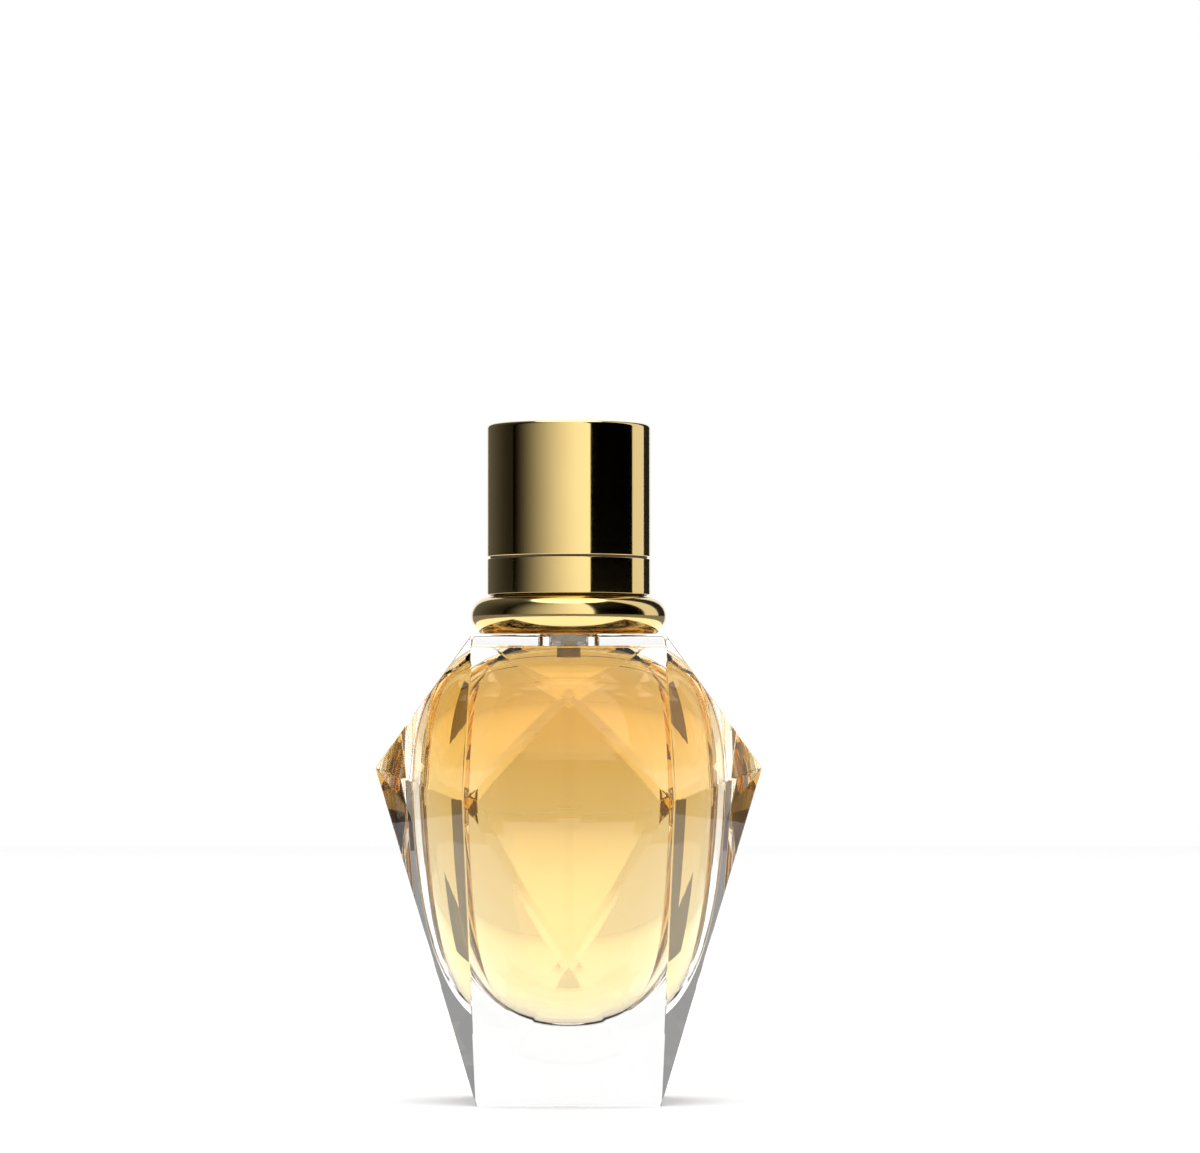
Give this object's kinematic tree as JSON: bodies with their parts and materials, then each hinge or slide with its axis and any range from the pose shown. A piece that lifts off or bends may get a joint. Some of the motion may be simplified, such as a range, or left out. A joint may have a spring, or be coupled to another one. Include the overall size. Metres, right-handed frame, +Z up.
{
  "type": "perfume bottle",
  "caption": "Faceted glass perfume bottle with amber liquid, a crimped spray pump with a press-and-turn actuator, a rounded gold collar and a pull-off gold cylindrical cap.",
  "frame": {"origin": "middle of the foot, on the surface that the bottle stands on", "axes": "+Z up along the neck, X across the width between the two side points, the spray leaves along -Y"},
  "size_m": [0.058, 0.0344, 0.1013],
  "materials": {
    "clear_glass": "polished",
    "amber_liquid": "clear liquid",
    "gold_aluminium": "satin anodised, pale gold",
    "gold_plastic": "gold tinted",
    "bare_aluminium": "drawn",
    "zinc_steel": "turned, zinc plated",
    "spring_steel": "bright",
    "black_rubber": "matte",
    "white_plastic": "moulded",
    "dark_plastic": "moulded",
    "clear_plastic": "natural, translucent"
  },
  "bodies": {
    "bottle": {"glass_bottle": "clear_glass", "perfume": "amber_liquid", "neck_gasket": "black_rubber", "ferrule": "bare_aluminium", "pump_housing": "clear_plastic", "stem_guide": "white_plastic", "stem_seal": "black_rubber", "return_spring": "spring_steel", "ball_cage": "white_plastic", "dip_tube": "clear_plastic", "collar_carrier": "gold_plastic", "collar_ring": "gold_aluminium", "collar_band": "gold_aluminium"},
    "pump_rod": {"stem": "white_plastic", "piston": "white_plastic"},
    "actuator": {"actuator_core": "white_plastic", "actuator_sleeve": "gold_aluminium", "nozzle_insert": "white_plastic"},
    "inlet_valve": {"inlet_ball": "spring_steel"},
    "cap": {"cap_shell": "gold_aluminium", "cap_weight": "zinc_steel", "cap_liner": "dark_plastic", "cap_grip_ring": "spring_steel"}
  },
  "joints": [
    {"name": "pump_press", "type": "slide", "parent": "bottle", "child": "pump_rod", "axis": [0, 0, -1], "range_m": [0, 0.003], "stiffness_N_per_m": 2500, "springref_m": -0.003, "deforming": ["return_spring"]},
    {"name": "actuator_turn", "type": "hinge", "parent": "pump_rod", "child": "actuator", "pos_m": [0, 0, 0.09], "axis": [0, 0, 1], "continuous": true},
    {"name": "inlet_valve_lift", "type": "slide", "parent": "bottle", "child": "inlet_valve", "axis": [0, 0, 1], "range_m": [0, 0.0004]},
    {"name": "cap_lift", "type": "slide", "parent": "bottle", "child": "cap", "axis": [0, 0, 1], "range_m": [0, 0.04]}
  ]
}
